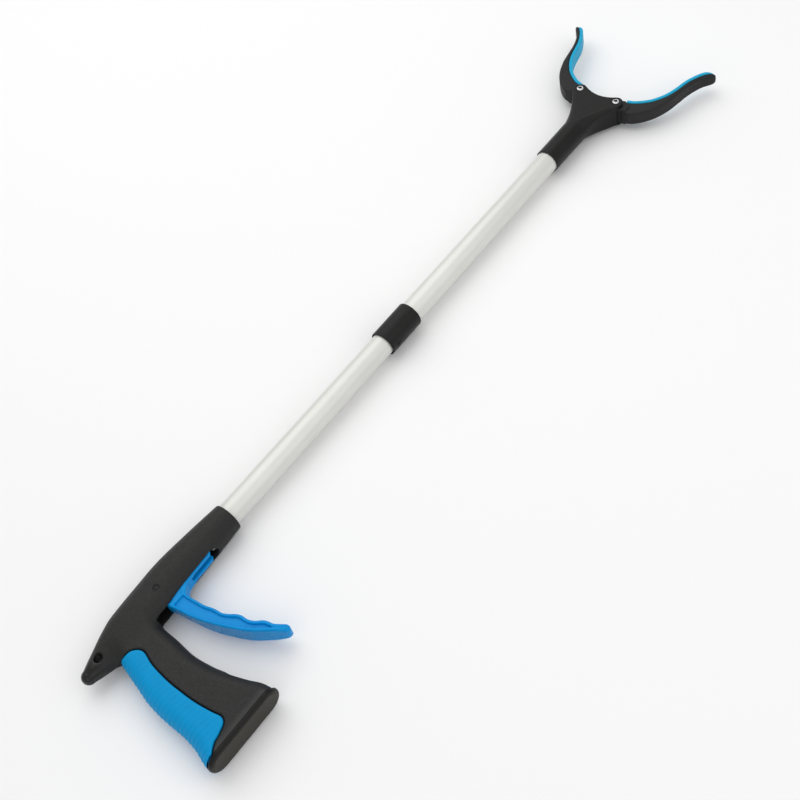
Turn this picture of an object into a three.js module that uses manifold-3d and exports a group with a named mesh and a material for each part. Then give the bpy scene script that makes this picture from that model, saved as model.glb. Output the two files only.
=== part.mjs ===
// Folding reacher grabber: pistol handle with a squeeze trigger, two-piece shaft with a
// fold hinge under a sliding sleeve, and a fork head with two curved, padded jaws.
// Millimetres. The tool lies on its side: +X along the shaft towards the jaws, +Y towards the
// top of the handle (the grip hangs to -Y), +Z out of the right-hand side of the handle.
// Everything is drawn about the mouth of the handle on the shaft axis, and the whole group is
// then moved so that the origin is the centre of the flat base of the grip.
import * as THREE from "three";
import { mergeVertices } from "three/addons/utils/BufferGeometryUtils.js";
import Module from "manifold-3d";

const wasm = await Module();
wasm.setup();

// ---- driving dimensions -------------------------------------------------------------------
const GAP = 0.3; // clearance between pieces that touch in the real tool
const TUBE = { outer: 11, inner: 9.9, rearStart: -28, frontEnd: 498 };
const CABLE = { radius: 0.8, hole: 1.3, y: -3.5 };
const BASE = { x: -131, y: -141 }; // centre of the flat grip base

const FOLD = { x: 240, y: 8.2, knuckle: 2.75, pinRadius: 1.2, rearSetback: 26, frontSetback: 8 };
const SLEEVE = { start: 212, end: 253, inner: 11.6, outer: 12.8 };

const TRIGGER = { x: -42, y: 11.5, pin: 1.8, eye: 3.6, halfArm: 6.5, halfGap: 2.9, halfLever: 10 };
const SLOT = { front: -28.5, rear: -103, halfWidth: 7.2, low: -40, noseTop: 5.5 };
const SHELL_WALL = 2.3;

const JAW = { x: 565.5, y: 21, pin: 2, boss: 7, core: 4.4, halfBoss: 9.2, openLean: 6, swing: 43.5 };
const HEAD = { socketStart: 474, shoulder: 499, halfPlate: 12.5, halfGap: 9.6, lobe: 7 };

const COLOUR = {
  black: { color: 0x2b2b29, roughness: 0.55, metalness: 0 },
  glossBlack: { color: 0x242320, roughness: 0.25, metalness: 0 },
  blue: { color: 0x0095dc, roughness: 0.3, metalness: 0 },
  insertBlue: { color: 0x0092d6, roughness: 0.6, metalness: 0 },
  padBlue: { color: 0x2296be, roughness: 0.7, metalness: 0 },
  tube: { color: 0xdedfd9, roughness: 0.4, metalness: 0.6 },
  steel: { color: 0xc9cacc, roughness: 0.3, metalness: 0.9 },
  brass: { color: 0xb9974f, roughness: 0.35, metalness: 0.9 },
  white: { color: 0xd8d8d2, roughness: 0.6, metalness: 0 },
};

const group = new THREE.Group();
group.position.set(-BASE.x, -BASE.y, 0);

function add(name, finish, geometry) {
  const mesh = new THREE.Mesh(geometry, new THREE.MeshStandardMaterial(COLOUR[finish]));
  mesh.name = name;
  group.add(mesh);
  return mesh;
}

// ---- solids -------------------------------------------------------------------------------
function solid(geometry) {
  const bare = geometry.index ? geometry.toNonIndexed() : geometry.clone();
  bare.deleteAttribute("normal");
  bare.deleteAttribute("uv");
  const merged = mergeVertices(bare, 1e-4);
  const corners = merged.index.array;
  const kept = [];
  for (let i = 0; i < corners.length; i += 3) {
    const [a, b, c] = [corners[i], corners[i + 1], corners[i + 2]];
    if (a !== b && b !== c && c !== a) kept.push(a, b, c);
  }
  const vertProperties = merged.attributes.position.array;
  return new wasm.Manifold(
    new wasm.Mesh({ numProp: 3, vertProperties, triVerts: new Uint32Array(kept) }),
  );
}

function surface(body) {
  const mesh = body.getMesh();
  const geometry = new THREE.BufferGeometry();
  geometry.setAttribute("position", new THREE.BufferAttribute(mesh.vertProperties, 3));
  geometry.setIndex(new THREE.BufferAttribute(mesh.triVerts, 1));
  geometry.computeVertexNormals();
  return geometry;
}

const join = (first, ...others) => others.reduce((whole, next) => whole.add(next), first);
const cut = (first, ...others) => others.reduce((whole, next) => whole.subtract(next), first);

// A round bar along X, and one along Z through (x, y).
function barX(x0, x1, radius, y = 0, segments = 40) {
  const bar = new THREE.CylinderGeometry(radius, radius, x1 - x0, segments);
  return solid(bar.rotateZ(-Math.PI / 2).translate((x0 + x1) / 2, y, 0));
}

function barZ(x, y, radius, z0, z1, segments = 24) {
  const bar = new THREE.CylinderGeometry(radius, radius, z1 - z0, segments);
  return solid(bar.rotateX(Math.PI / 2).translate(x, y, (z0 + z1) / 2));
}

function block(x0, x1, y0, y1, z0, z1) {
  const box = new THREE.BoxGeometry(x1 - x0, y1 - y0, z1 - z0);
  return solid(box.translate((x0 + x1) / 2, (y0 + y1) / 2, (z0 + z1) / 2));
}

// A ring turned about the shaft axis from a closed profile of [x, radius] corners.
function turned(profile, segments = 40) {
  const points = [...profile, profile[0]].map(([x, radius]) => new THREE.Vector2(radius, x));
  return solid(new THREE.LatheGeometry(points, segments).rotateZ(-Math.PI / 2));
}

// A flat outline in the XY plane, given as a THREE.Shape, between two heights.
function plate(shape, z0, z1, curveSegments = 8) {
  const settings = { depth: z1 - z0, bevelEnabled: false, curveSegments };
  return solid(new THREE.ExtrudeGeometry(shape, settings).translate(0, 0, z0));
}

function outline(points) {
  return new THREE.Shape(points.map(([x, y]) => new THREE.Vector2(x, y)));
}

// Skin over equal rings of points, closed at both ends by a fan.
function loft(rings) {
  const count = rings[0].length;
  const points = rings.flat();
  const faces = [];
  const corner = (ring, i) => ring * count + (i % count);
  for (let ring = 0; ring + 1 < rings.length; ring++) {
    for (let i = 0; i < count; i++) {
      const [a, b] = [corner(ring, i), corner(ring, i + 1)];
      const [c, d] = [corner(ring + 1, i + 1), corner(ring + 1, i)];
      faces.push(a, b, c, a, c, d);
    }
  }
  for (const [ring, turn] of [[0, 1], [rings.length - 1, -1]]) {
    const middle = points.push(centroid(rings[ring])) - 1;
    for (let i = 0; i < count; i++) {
      const pair = [corner(ring, i), corner(ring, i + 1)];
      faces.push(middle, ...(turn > 0 ? pair.reverse() : pair));
    }
  }
  const geometry = new THREE.BufferGeometry().setFromPoints(points);
  geometry.setIndex(faces);
  const body = solid(geometry);
  if (body.volume() > 0) return body;
  geometry.setIndex(faces.reverse());
  return solid(geometry);
}

function centroid(points) {
  const sum = new THREE.Vector3();
  points.forEach((point) => sum.add(point));
  return sum.divideScalar(points.length);
}

const turnOf = (i, count) => (2 * Math.PI * i) / count;
const signedPower = (value, power) => Math.sign(value) * Math.abs(value) ** power;

// Ring across the shaft: a rounded section, squarer as `square` rises above 2.
function crossRing({ x, y = 0, halfY, halfZ, square = 2 }, inset, count) {
  return Array.from({ length: count }, (_, i) => {
    const angle = turnOf(i, count);
    const up = (halfY - inset) * signedPower(Math.cos(angle), 2 / square);
    const out = (halfZ - inset) * signedPower(Math.sin(angle), 2 / square);
    return new THREE.Vector3(x, y + up, out);
  });
}

// Ring across the grip: two half circles joined by straight sides.
function gripRing({ y, front, rear, half }, count = 20) {
  return Array.from({ length: count }, (_, i) => {
    const angle = turnOf(i + 0.5, count);
    const middle = Math.cos(angle) > 0 ? front - half : rear + half;
    return new THREE.Vector3(middle + half * Math.cos(angle), y, half * Math.sin(angle));
  });
}

// ---- handle -------------------------------------------------------------------------------
const BARREL = [
  { x: 0, y: 0, halfY: 14, halfZ: 14 },
  { x: -30, y: 0.5, halfY: 16.3, halfZ: 15 },
  { x: -65, y: 1.1, halfY: 19.1, halfZ: 15.6 },
  { x: -98, y: -1.8, halfY: 20, halfZ: 15.6 },
  { x: -125, y: -2.4, halfY: 19.2, halfZ: 14 },
  { x: -140, y: -2.3, halfY: 15.6, halfZ: 11.6 },
  { x: -155, y: -2.6, halfY: 11, halfZ: 9 },
  { x: -168, y: -3.2, halfY: 7, halfZ: 6.2 },
  { x: -174.5, y: -3.6, halfY: 4.6, halfZ: 4.2 },
  { x: -177, y: -3.8, halfY: 2, halfZ: 1.8 },
];
const GRIP = [
  { y: -8, front: -104, rear: -140, half: 10.5 },
  { y: -22, front: -105, rear: -148, half: 12 },
  { y: -41, front: -105.5, rear: -154, half: 12.6 },
  { y: -65, front: -108, rear: -159.8, half: 12.8 },
  { y: -85, front: -106.5, rear: -161.6, half: 12.8 },
  { y: -102, front: -102.5, rear: -162, half: 12.8 },
  { y: -118, front: -97.6, rear: -164.2, half: 12.8 },
  { y: -130, front: -93, rear: -168, half: 12.9 },
  { y: -137.6, front: -92, rear: -170, half: 13 },
];
const BARREL_SIDES = 24;
const INSERT = { depth: 3, cavity: 6.4 };
const FAR = 300; // a length past the handle in any direction
const INSERT_WINDOW = [
  [-132.5, -31], [-137, -47], [-138, -66], [-138.4, -96], [-136, -118], [-136.5, -126],
  [-143, -129.2], [-180, -134], [-180, -12], [-143, -21.5], [-135, -24.5],
];
const SCREWS = { nose: [-116, 8], tail: [-137, -4], palm: [-120, -62], heel: [-124, -121] };
const PIN_REACH = 10.8; // half the length of the trigger pin
const SCREW = {
  head: 2.9, headHeight: 1.6, shank: 1.4, reach: 6, post: 3.8, crossLong: 1.7, crossWide: 0.4,
};
const LANYARD = { x: -156.5, y: -3.4, radius: 3.7 };

function shrunk({ y, front, rear, half }, inset) {
  return { y, front: front - inset, rear: rear + inset, half: half - inset };
}

function gripLoft(inset = 0) {
  return loft(GRIP.map((ring) => gripRing(shrunk(ring, inset))));
}

// The blank shape of the closed handle, before it is split into its two shells.
function handleBlank() {
  const barrel = loft(BARREL.map((station) => crossRing(station, 0, BARREL_SIDES)));
  return join(barrel, gripLoft());
}

function handleCavity() {
  const room = BARREL.filter(({ x }) => x > LANYARD.x + 10 && x < -10);
  const barrel = loft(room.map((station) => crossRing(station, SHELL_WALL, BARREL_SIDES)));
  const bore = barX(TUBE.rearStart - 4, 5, TUBE.outer + GAP);
  const hollow = GRIP.map(({ y, front, rear, half }) => ({
    y,
    front: front - SHELL_WALL - 0.7,
    rear: rear + INSERT.cavity + 1,
    half: half - INSERT.cavity,
  }));
  hollow[hollow.length - 1].y = BASE.y;
  return join(barrel, bore, loft(hollow.map((ring) => gripRing(ring))));
}

// Slot under the barrel for the trigger, with a round front end.
function triggerSlot() {
  const { front, rear, halfWidth, low, noseTop } = SLOT;
  const mouth = block(rear, front - halfWidth, low, TRIGGER.y, -halfWidth, halfWidth);
  const nose = new THREE.CylinderGeometry(halfWidth, halfWidth, noseTop - low, 20);
  const round = solid(nose.translate(front - halfWidth, (noseTop + low) / 2, 0));
  return join(mouth, round);
}

// What lies inside the insert's window, `grow` wider all round, and less than `inset` deep.
function insertRegion(grow, inset) {
  const centre = new THREE.Vector2(-150, -76);
  const window = INSERT_WINDOW.map(([x, y]) => {
    const out = new THREE.Vector2(x, y).sub(centre).normalize().multiplyScalar(grow);
    return [x + out.x, y + out.y];
  });
  return cut(plate(outline(window), -FAR, FAR), gripLoft(inset));
}

// Posts that the screws and the trigger pin are held in.
function posts() {
  const screwed = Object.values(SCREWS).map(([x, y]) => barZ(x, y, SCREW.post, -9, 9, 20));
  const pinned = barZ(TRIGGER.x, TRIGGER.y, TRIGGER.pin + 2, -14, 14, 20);
  return join(pinned, ...screwed);
}

function screwHoles() {
  return Object.values(SCREWS).flatMap(([x, y]) => [
    barZ(x, y, SCREW.shank + GAP / 2, -FAR, SCREW.reach + GAP, 16),
    barZ(x, y, SCREW.head + GAP, -FAR, screwSeat(x, y) + SCREW.headHeight + GAP, 20),
  ]);
}

// Height of the counterbore's mouth in the left shell at a screw.
function screwSeat(x, y) {
  return y > -20 ? (x > -130 ? -13.2 : -10.2) : -12.2;
}

function handleShells() {
  const { x, y, pin, eye, halfArm } = TRIGGER;
  const eyeRoom = barZ(x, y, eye + 2 * GAP, -halfArm - GAP, halfArm + GAP);
  const blank = handleBlank();
  const whole = cut(
    join(posts().intersect(blank), cut(blank, handleCavity())),
    eyeRoom,
    triggerSlot(),
    insertRegion(GAP, INSERT.depth + GAP),
    barZ(x, y, pin + 0.05, -PIN_REACH - 0.2, PIN_REACH + 0.2, 20),
    barZ(LANYARD.x, LANYARD.y, LANYARD.radius, -FAR, FAR, 20),
    ...screwHoles(),
  );
  const seam = 0.05;
  const right = whole.subtract(block(-FAR, FAR, -FAR, FAR, -FAR, seam));
  const left = whole.subtract(block(-FAR, FAR, -FAR, FAR, -seam, FAR));
  add("handle_shell_right", "black", surface(right));
  add("handle_shell_left", "black", surface(left));
}

function gripInsert() {
  const skin = insertRegion(0, INSERT.depth).intersect(gripLoft(-0.3));
  add("grip_insert", "insertBlue", surface(skin));
}

function gripBaseCap() {
  const foot = GRIP[GRIP.length - 1];
  const levels = [
    [foot.y - GAP, 0.1],
    [-139.9, 0.2],
    [BASE.y, 1.2],
  ];
  const rings = levels.map(([y, inset]) => gripRing({ ...shrunk(foot, inset), y }, 28));
  add("grip_base_cap", "glossBlack", surface(loft(rings)));
}

function handleScrews() {
  for (const [name, [x, y]] of Object.entries(SCREWS)) {
    const seat = screwSeat(x, y) + GAP;
    const top = barZ(x, y, SCREW.head, seat, seat + SCREW.headHeight - GAP, 20);
    const shank = barZ(x, y, SCREW.shank, seat + 1, SCREW.reach, 14);
    const { crossLong, crossWide } = SCREW;
    const recess = join(
      block(x - crossLong, x + crossLong, y - crossWide, y + crossWide, seat - 1, seat + 0.7),
      block(x - crossWide, x + crossWide, y - crossLong, y + crossLong, seat - 1, seat + 0.7),
    );
    add(`${name}_screw`, "steel", surface(cut(join(top, shank), recess)));
  }
}

// ---- trigger ------------------------------------------------------------------------------
const ARM_OUTLINE = [
  [-38.4, 11.5], [-39.4, 14], [-42, 15.1], [-45.2, 12.4], [-60, 5.2], [-76, -4], [-88, -11],
  [-90.6, -15], [-89.5, -22], [-74, -24], [-64, -20.4], [-50, -18], [-37, -15.4], [-34.8, -12.6],
];
const LEVER_FRONT = [
  [-64, -20.4], [-70.5, -25], [-73.4, -33], [-73.2, -44], [-71.5, -53], [-70.4, -62], [-68, -69],
  [-64, -76], [-63, -84], [-60.6, -90.5], [-55.6, -96.5], [-54.2, -103], [-51.6, -107.6],
  [-49.4, -110.4],
];
const LEVER_REAR = [
  [-49.6, -113.8], [-52.8, -113.6], [-60.6, -104.6], [-70.6, -90.6], [-78.4, -73], [-84.2, -56],
  [-87.8, -40], [-89.8, -26], [-90.6, -15], [-80, -12],
];

function anchorSlot() {
  const drift = 1.2; // the anchor sinks this far in its slot as the trigger swings
  const hole = 2.6;
  return join(
    barZ(TRIGGER.x, CABLE.y, hole, -FAR, FAR, 20),
    barZ(TRIGGER.x, CABLE.y - drift, hole, -FAR, FAR, 20),
    block(TRIGGER.x - hole, TRIGGER.x + hole, CABLE.y - drift, CABLE.y, -FAR, FAR),
  );
}

function trigger() {
  const { x, y, pin, halfArm, halfGap, halfLever } = TRIGGER;
  const arms = plate(outline(ARM_OUTLINE), -halfArm, halfArm);
  const channel = block(x - 20, FAR, -60, FAR, -halfGap, halfGap);
  const lever = plate(outline([...LEVER_FRONT, ...LEVER_REAR]), -halfLever, halfLever);
  // The lever is as narrow as the arms where it enters the slot, and widens below it.
  const waist = [
    [-14, halfArm], [-38, halfArm], [-52, halfLever], [-90, halfLever], [-118, halfLever - 1.4],
  ];
  const rings = waist.map(([level, half]) => [
    new THREE.Vector3(0, level, half), new THREE.Vector3(0, level, -half),
    new THREE.Vector3(-FAR, level, -half), new THREE.Vector3(-FAR, level, half),
  ]);
  const blade = lever.intersect(loft(rings));
  const pinHole = barZ(x, y, pin + 0.08, -FAR, FAR, 20);
  add("trigger", "blue", surface(cut(join(cut(arms, channel), blade), pinHole, anchorSlot())));
  add("trigger_pin", "steel", surface(barZ(x, y, pin, -PIN_REACH, PIN_REACH, 20)));
}

// ---- shaft and fold hinge -----------------------------------------------------------------
const REAR_TUBE_END = FOLD.x - FOLD.rearSetback;
const FRONT_TUBE_START = FOLD.x + FOLD.frontSetback;
const PLUG = { radius: TUBE.inner - 0.15, length: 22, halfTongue: 2.4, halfFork: 5.2 };

function cableHole(x0, x1) {
  return barX(x0, x1, CABLE.hole, CABLE.y, 12);
}

function tubes() {
  const { outer, inner, rearStart, frontEnd } = TUBE;
  const pipe = (x0, x1) => turned([[x0, inner], [x0, outer], [x1, outer], [x1, inner]], 40);
  add("rear_tube", "tube", surface(pipe(rearStart, REAR_TUBE_END)));
  add("front_tube", "tube", surface(pipe(FRONT_TUBE_START, frontEnd)));
}

function tubeEndBush() {
  const start = TUBE.rearStart;
  const flange = barX(start - 2.2, start - GAP / 2, TUBE.outer - 0.6, 0, 24);
  const spigot = barX(start - 1, start + 9, PLUG.radius, 0, 24);
  add("tube_end_bush", "white", surface(cut(join(flange, spigot), cableHole(-60, 0))));
}

// The hinge stays inside the line of the tubes, so that the sleeve can pass over it.
function hingeEnvelope() {
  return barX(REAR_TUBE_END - 5, FRONT_TUBE_START + 5, TUBE.outer, 0, 48);
}

// Rear half of the hinge: two ears with the pin through them.
function rearHingePlug() {
  const { radius, length, halfTongue, halfFork } = PLUG;
  const plug = barX(REAR_TUBE_END - length, REAR_TUBE_END + 2, radius, 0, 32);
  const neck = new THREE.Shape();
  neck.moveTo(REAR_TUBE_END, -8);
  neck.lineTo(FOLD.x - 2, -8);
  neck.lineTo(FOLD.x + FOLD.knuckle - 0.4, FOLD.y - 4);
  neck.absarc(FOLD.x, FOLD.y, FOLD.knuckle, 0, Math.PI * 0.8, false);
  neck.lineTo(FOLD.x - 8.5, 6.2);
  neck.lineTo(REAR_TUBE_END, 6.2);
  const ears = plate(neck, -halfFork, halfFork, 10).intersect(hingeEnvelope());
  const mouth = halfTongue + GAP;
  const gap = block(FOLD.x - 7.5, FOLD.x + 20, -20, 20, -mouth, mouth);
  const pinHole = barZ(FOLD.x, FOLD.y, FOLD.pinRadius + 0.02, -20, 20, 16);
  const body = cut(join(plug, ears), gap, pinHole, cableHole(150, 250));
  add("rear_hinge_plug", "black", surface(body));
}

// Front half of the hinge: one tongue between the ears.
function frontHingePlug() {
  const { radius, length, halfTongue } = PLUG;
  const plug = barX(FRONT_TUBE_START - 1.5, FRONT_TUBE_START + length, radius, 0, 32);
  const neck = new THREE.Shape();
  neck.moveTo(FRONT_TUBE_START, -8);
  neck.lineTo(FRONT_TUBE_START, FOLD.y + 1.2);
  neck.lineTo(FOLD.x, FOLD.y + FOLD.knuckle);
  neck.absarc(FOLD.x, FOLD.y, FOLD.knuckle, Math.PI / 2, Math.PI * 1.25, false);
  neck.lineTo(FOLD.x + 3, 0);
  neck.lineTo(FOLD.x + 3, -8);
  const tongue = plate(neck, -halfTongue, halfTongue, 10).intersect(hingeEnvelope());
  const pinHole = barZ(FOLD.x, FOLD.y, FOLD.pinRadius + 0.05, -20, 20, 16);
  const body = cut(join(plug, tongue), pinHole, cableHole(235, 290));
  add("front_hinge_plug", "black", surface(body));
}

function foldPin() {
  add("fold_pin", "steel", surface(barZ(FOLD.x, FOLD.y, FOLD.pinRadius, -5, 5, 16)));
}

const CATCH = { x: 222, halfX: 3, halfZ: 1.6, proud: 0.9 };

function lockSleeve() {
  const { start, end, inner, outer } = SLEEVE;
  const round = 0.4;
  const ring = turned([
    [start, inner], [start, outer - round], [start + round, outer],
    [end - round, outer], [end, outer - round], [end, inner],
  ], 36);
  const seat = catchBlock(GAP / 2, inner - 1, outer + 2);
  add("lock_sleeve", "black", surface(cut(ring, seat)));
  add("sleeve_catch", "glossBlack", surface(catchBlock(0, inner + 0.1, outer + CATCH.proud)));
}

function catchBlock(grow, near, far) {
  const { x, halfX, halfZ } = CATCH;
  return block(x - halfX - grow, x + halfX + grow, -far, -near, -halfZ - grow, halfZ + grow);
}

// ---- head ---------------------------------------------------------------------------------
const HEAD_SECTIONS = [
  { x: 474, halfY: 12.2, halfZ: 12.2 },
  { x: 510, halfY: 12.2, halfZ: 12.2 },
  { x: 519, halfY: 12.9, halfZ: 12.3, square: 2.1 },
  { x: 529, halfY: 14.6, halfZ: 12.4, square: 2.5 },
  { x: 539, halfY: 17.6, halfZ: 12.5, square: 3.4 },
  { x: 549, halfY: 21.2, halfZ: 12.5, square: 5.5 },
  { x: 558, halfY: 25, halfZ: 12.5, square: 9 },
];
const HEAD_ROOM = [[526, 7], [539, 11.8], [550, 17.4], [557.8, 20.6], [558, 40], [600, 40]];
const YOKE = {
  start: 529, end: 541, seat: 507, halfBar: 6, bar: 3.4, play: 0.3, reach: 16.3, wall: 1.1,
};
const PULL = 5.13; // how far the cable draws the yoke back at full squeeze

// Flat outline of one fork plate, from lobe to lobe with a hollow front edge.
function forkPlate() {
  const { x, y } = JAW;
  const { lobe } = HEAD;
  const hollow = 567; // front edge on the centre line
  const lobeEnd = 0.69 * Math.PI;
  const lobeStart = 0.1 * Math.PI;
  const tip = { x: x + lobe * Math.cos(lobeStart), y: y - lobe * Math.sin(lobeStart) };
  const shape = new THREE.Shape();
  shape.moveTo(536, -8.6);
  shape.lineTo(552, -18.6);
  shape.absarc(x, -y, lobe, -lobeEnd, lobeStart, false);
  shape.quadraticCurveTo(2 * hollow - tip.x, 0, tip.x, tip.y);
  shape.absarc(x, y, lobe, -lobeStart, lobeEnd, false);
  shape.lineTo(552, 18.6);
  shape.lineTo(536, 8.6);
  return shape;
}

function headFork() {
  const { socketStart, shoulder, halfPlate, halfGap } = HEAD;
  const blank = join(
    loft(HEAD_SECTIONS.map((section) => crossRing(section, 0, 28))),
    plate(forkPlate(), -halfPlate, halfPlate, 8),
  );
  const below = HEAD_ROOM.map(([x, y]) => [x, -y]);
  const room = outline([...below, ...HEAD_ROOM.toReversed()]);
  const fork = cut(
    blank,
    plate(room, -halfGap, halfGap),
    barX(socketStart - 5, shoulder, TUBE.outer + GAP),
    barX(shoulder - 1, YOKE.start + 1, 8.6, 0, 32),
    barZ(JAW.x, JAW.y, JAW.pin + 0.03, -FAR, FAR, 20),
    barZ(JAW.x, -JAW.y, JAW.pin + 0.03, -FAR, FAR, 20),
  );
  add("head_fork", "black", surface(fork));
}

function springSeat() {
  const start = TUBE.frontEnd;
  const plug = barX(start - 10, start + 0.1, PLUG.radius, 0, 28);
  const collar = barX(start - 0.4, YOKE.seat, 8.3, 0, 28);
  add("spring_seat", "white", surface(cut(join(plug, collar), cableHole(480, 512))));
}

class Helix extends THREE.Curve {
  constructor(start, end, radius, turns) {
    super();
    Object.assign(this, { start, end, radius, turns });
  }
  getPoint(t, target = new THREE.Vector3()) {
    const angle = 2 * Math.PI * this.turns * t;
    const x = this.start + (this.end - this.start) * t;
    return target.set(x, this.radius * Math.cos(angle), this.radius * Math.sin(angle));
  }
}

function returnSpring() {
  const wire = 0.55;
  const path = new Helix(YOKE.seat + wire + GAP, YOKE.start - wire - GAP, 6.6, 5);
  const round = new THREE.Shape().absarc(0, 0, wire, 0, 2 * Math.PI, false);
  const settings = { steps: 65, extrudePath: path, bevelEnabled: false, curveSegments: 3 };
  add("return_spring", "steel", surface(solid(new THREE.ExtrudeGeometry(round, settings))));
}

// The crank that swings a jaw through JAW.swing while the cable pulls by PULL.
const OPEN_LEAN = THREE.MathUtils.degToRad(JAW.openLean);
const SHUT_LEAN = THREE.MathUtils.degToRad(JAW.swing - JAW.openLean);
const CRANK = PULL / (Math.sin(OPEN_LEAN) + Math.sin(SHUT_LEAN));
const PEG = {
  radius: 1.5,
  x: JAW.x + CRANK * Math.sin(OPEN_LEAN),
  y: JAW.y - CRANK * Math.cos(OPEN_LEAN),
};

// Slider that the cable pulls: a guided stem, a neck, and two hooks round the crank pegs.
function yoke() {
  const { start, end, halfBar, bar, play, reach, wall } = YOKE;
  const hookRoom = PEG.radius + play;
  const front = PEG.x + hookRoom + wall;
  const rod = barX(start, end + 4, 7.9, 0, 28);
  const stem = rod.intersect(block(start, end + 4, -9, 9, -halfBar, halfBar));
  const neck = block(end, PEG.x - 4, -5, 5, -bar, bar);
  const head = block(PEG.x - 4.4, front, -reach, reach, -bar, bar);
  const hollow = block(PEG.x - 1, front + 1, -10, 10, -20, 20);
  const notches = [1, -1].map((side) => {
    const [low, high] = [PEG.y - hookRoom, reach + 2].map((y) => side * y).sort((a, b) => a - b);
    return block(PEG.x - hookRoom, PEG.x + hookRoom, low, high, -FAR, FAR);
  });
  const socket = barX(end - 3, end + 6.4, 2.6, CABLE.y, 16);
  const throat = block(end + 3, end + 9, CABLE.y - 2, CABLE.y + 2, -20, 20);
  const body = cut(join(stem, neck, head), hollow, ...notches, socket, throat, cableHole(500, 560));
  add("yoke", "black", surface(body));
  const ferrule = barX(end - 2.7, end + 2.3, 2.2, CABLE.y, 16);
  const bore = barX(500, end + 1, CABLE.radius + 0.1, CABLE.y, 12);
  add("head_cable_ferrule", "brass", surface(cut(ferrule, bore)));
}

function cables() {
  const hingeGap = 3;
  const rear = barX(TRIGGER.x + 2.6, FOLD.x - hingeGap, CABLE.radius, CABLE.y, 10);
  const front = barX(FOLD.x + hingeGap + PULL, YOKE.end + 0.7, CABLE.radius, CABLE.y, 10);
  add("rear_cable", "steel", surface(rear));
  add("front_cable", "steel", surface(front));
  add("cable_anchor", "brass", surface(barZ(TRIGGER.x, CABLE.y, 2.2, -6.2, 6.2, 20)));
}

// ---- jaws ---------------------------------------------------------------------------------
// Upper jaw in the open position: outer back, then the inner face that carries the pad.
const JAW_BACK = [
  [560.5, 36], [569, 47.5], [581, 57], [596, 63.6], [610, 66.4], [625, 69.4], [638, 75], [649, 83],
];
const JAW_FACE = [
  [652.4, 81], [643, 72.4], [629, 65.4], [613, 61.6], [600, 56.8], [587.6, 48], [578.8, 36.6],
  [575.4, 27],
];
const PAD_THICKNESS = 2.6;
const JAW_HALF_WIDTH = [[552, 12.2], [590, 12.1], [616, 11.2], [636, 9], [654, 6.4]];

function smooth(points, divisions) {
  const curve = new THREE.CatmullRomCurve3(points.map(([x, y]) => new THREE.Vector3(x, y, 0)));
  return curve.getPoints(divisions);
}

function mirrored(points, side) {
  return points.map(({ x, y }) => [x, side * y]);
}

function jawWidthBlock(side) {
  const rings = JAW_HALF_WIDTH.map(([x, half]) => [
    new THREE.Vector3(x, 0, half), new THREE.Vector3(x, 0, -half),
    new THREE.Vector3(x, side * 120, -half), new THREE.Vector3(x, side * 120, half),
  ]);
  return loft(rings);
}

function jaw(side, label) {
  const { x, y, boss, core, halfBoss, pin } = JAW;
  const at = (points) => outline(points.map(([dx, dy]) => [x + dx, side * (y + dy)]));
  const back = smooth(JAW_BACK, 14);
  const face = smooth(JAW_FACE, 14);
  const root = [[7.6, 4], [3.4, 8.4], [-3.4, 9.4]].map(([dx, dy]) => [x + dx, side * (y + dy)]);
  const wing = plate(outline([...mirrored([...back, ...face], side), ...root]), -14, 14);
  const hub = barZ(x, side * y, boss, -halfBoss, halfBoss, 28);
  const bridge = plate(at([[-5, 0], [6.6, -2], [9.2, 6], [4, 14], [-4, 14]]), -halfBoss, halfBoss);
  const crank = plate(at([
    [-3, -2], [5, -2], [PEG.x - x + 2, PEG.y - y], [PEG.x - x - 2, PEG.y - y],
  ]), -halfBoss, halfBoss);
  // Room for the yoke between the two cheeks of the crank; only the core runs through it.
  const room = cut(
    plate(at([[-20, -20], [14, -20], [14, 1], [-20, 1]]), -YOKE.bar - GAP, YOKE.bar + GAP),
    barZ(x, side * y, core, -20, 20, 24),
  );
  const link = join(cut(join(hub, bridge, crank), room), wing.intersect(jawWidthBlock(side)));
  const peg = barZ(PEG.x, side * PEG.y, PEG.radius, -halfBoss, halfBoss, 16);
  const pinHole = barZ(x, side * y, pin + 0.08, -20, 20, 20);
  add(`jaw_${label}`, "black", surface(cut(join(link, peg), pinHole)));
}

// The gripping pad: a strip laid on the face, `GAP` clear of it.
function jawPad(side, label) {
  const face = smooth(JAW_FACE, 14);
  const last = face.length - 1;
  const inward = face.map((point, i) => {
    const along = face[Math.min(i + 1, last)].clone().sub(face[Math.max(i - 1, 0)]).normalize();
    return new THREE.Vector3(-along.y, along.x, 0);
  });
  const offset = (distance) =>
    face.map((point, i) => point.clone().addScaledVector(inward[i], distance));
  const corners = mirrored([...offset(GAP), ...offset(GAP + PAD_THICKNESS).reverse()], side);
  const pad = plate(outline(corners), -14, 14).intersect(jawWidthBlock(side));
  add(`jaw_pad_${label}`, "padBlue", surface(pad));
}

function jawRivet(side, label) {
  const { x, y, pin } = JAW;
  const head = HEAD.halfPlate + GAP / 2;
  const rivet = join(
    barZ(x, side * y, pin, -head - 0.5, head + 0.5, 20),
    barZ(x, side * y, 3, head, head + 0.9, 20),
    barZ(x, side * y, 3, -head - 0.9, -head, 20),
  );
  const dimple = barZ(x, side * y, 1.2, head + 0.3, head + 2, 14);
  add(`jaw_rivet_${label}`, "steel", surface(cut(rivet, dimple)));
}

handleShells();
gripInsert();
gripBaseCap();
handleScrews();
trigger();
tubes();
tubeEndBush();
rearHingePlug();
frontHingePlug();
foldPin();
lockSleeve();
headFork();
springSeat();
returnSpring();
yoke();
cables();
for (const [side, label] of [[1, "upper"], [-1, "lower"]]) {
  jaw(side, label);
  jawPad(side, label);
  jawRivet(side, label);
}

export default group;
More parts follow.
